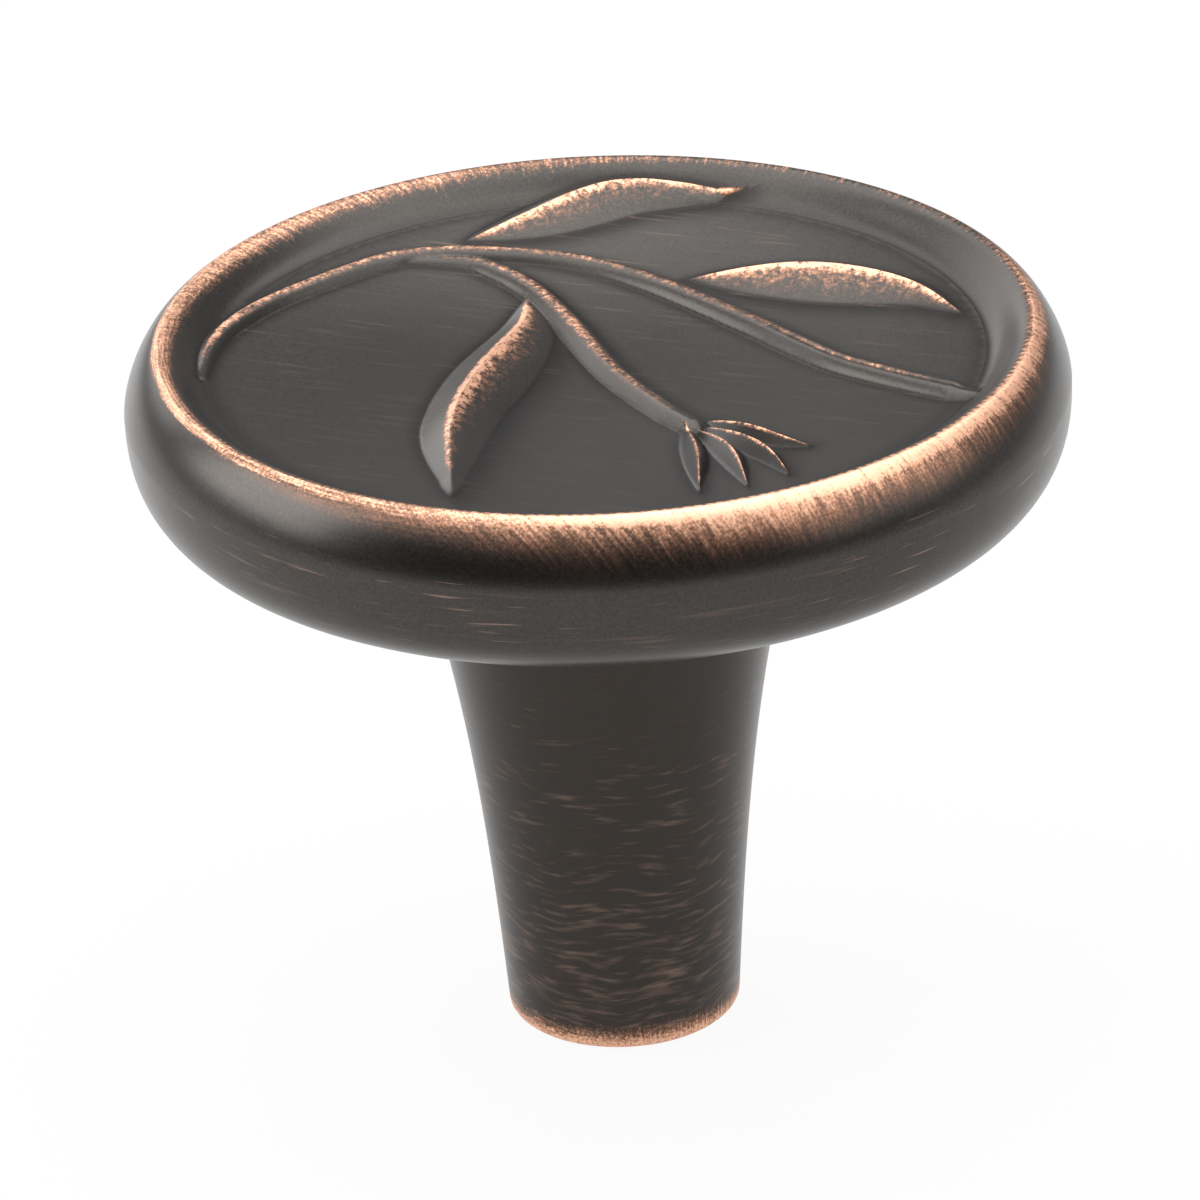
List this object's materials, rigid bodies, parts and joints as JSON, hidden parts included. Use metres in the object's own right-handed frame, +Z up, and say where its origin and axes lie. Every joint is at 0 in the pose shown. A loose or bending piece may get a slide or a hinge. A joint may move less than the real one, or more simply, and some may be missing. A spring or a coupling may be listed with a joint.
{
  "type": "cabinet knob",
  "caption": "Round cabinet knob: a flared stem under a rounded head, whose dished face carries a raised vine, leaves and flower; dark bronze with rubbed copper edges.",
  "frame": {"origin": "centre of the foot's flat face, which sits on the drawer front or door", "axes": "+Z runs up the stem and out of the dished face; +X and +Y lie in the foot's face, with -Y towards the flower's side"},
  "size_m": [0.0396, 0.0396, 0.0318],
  "materials": {
    "dark_bronze": "satin dark bronze plating, rubbed through to bright copper on the rim, the leaf ridges and the foot's edge"
  },
  "bodies": {
    "root": {"knob_body": "dark_bronze"}
  },
  "joints": []
}
